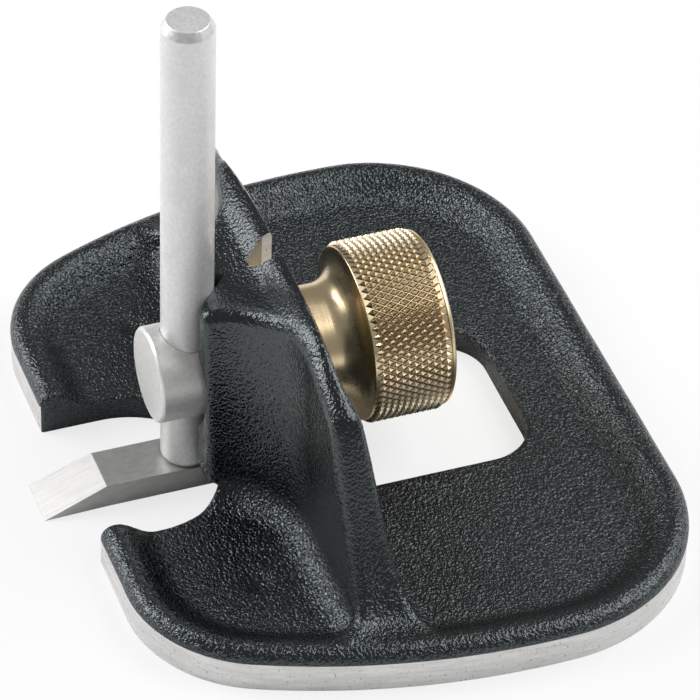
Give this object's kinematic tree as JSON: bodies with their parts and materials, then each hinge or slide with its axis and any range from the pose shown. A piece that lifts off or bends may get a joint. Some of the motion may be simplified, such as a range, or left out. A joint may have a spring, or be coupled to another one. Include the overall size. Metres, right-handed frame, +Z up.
{
  "type": "small router plane",
  "caption": "Hand router plane: black casting with a wall and post, a square-ended blade on a round shank held in a groove by a collar and stud, and a knurled brass knob.",
  "frame": {"origin": "middle of the footprint on the sole: midway between the cutting edge and the rear edge, in the plane of symmetry", "axes": "+Z up from the sole along the blade's shank, +Y from the blade towards the knob and the rear edge, +X across the casting"},
  "size_m": [0.0846, 0.0684, 0.0639],
  "materials": {
    "casting": "textured black enamel, sole and flank band machined bright",
    "turned_steel": "turned steel",
    "brass": "turned neck, diamond knurl",
    "shank_steel": "fine satin blasted steel",
    "ground_steel": "ground tool steel"
  },
  "bodies": {
    "body": {"body_casting": "casting"},
    "clamp": {"clamp_collar": "turned_steel", "clamp_stud": "turned_steel"},
    "knob": {"clamp_knob": "brass"},
    "blade": {"blade_shank": "shank_steel", "blade_foot": "ground_steel"}
  },
  "joints": [
    {"name": "knob_turn", "type": "hinge", "parent": "body", "child": "knob", "pos_m": [0, -0.01645, 0.0156], "axis": [0, 1, 0], "range_deg": [0, 360]},
    {"name": "clamp_slide", "type": "slide", "parent": "body", "child": "clamp", "axis": [0, -1, 0], "range_m": [0, 0.00127]},
    {"name": "blade_depth", "type": "slide", "parent": "clamp", "child": "blade", "axis": [0, 0, 1], "range_m": [-0.038, 0.0015]}
  ],
  "couplings": [
    {"joint": "knob_turn", "follows": "clamp_slide", "rad_per_m": 4947.3}
  ]
}
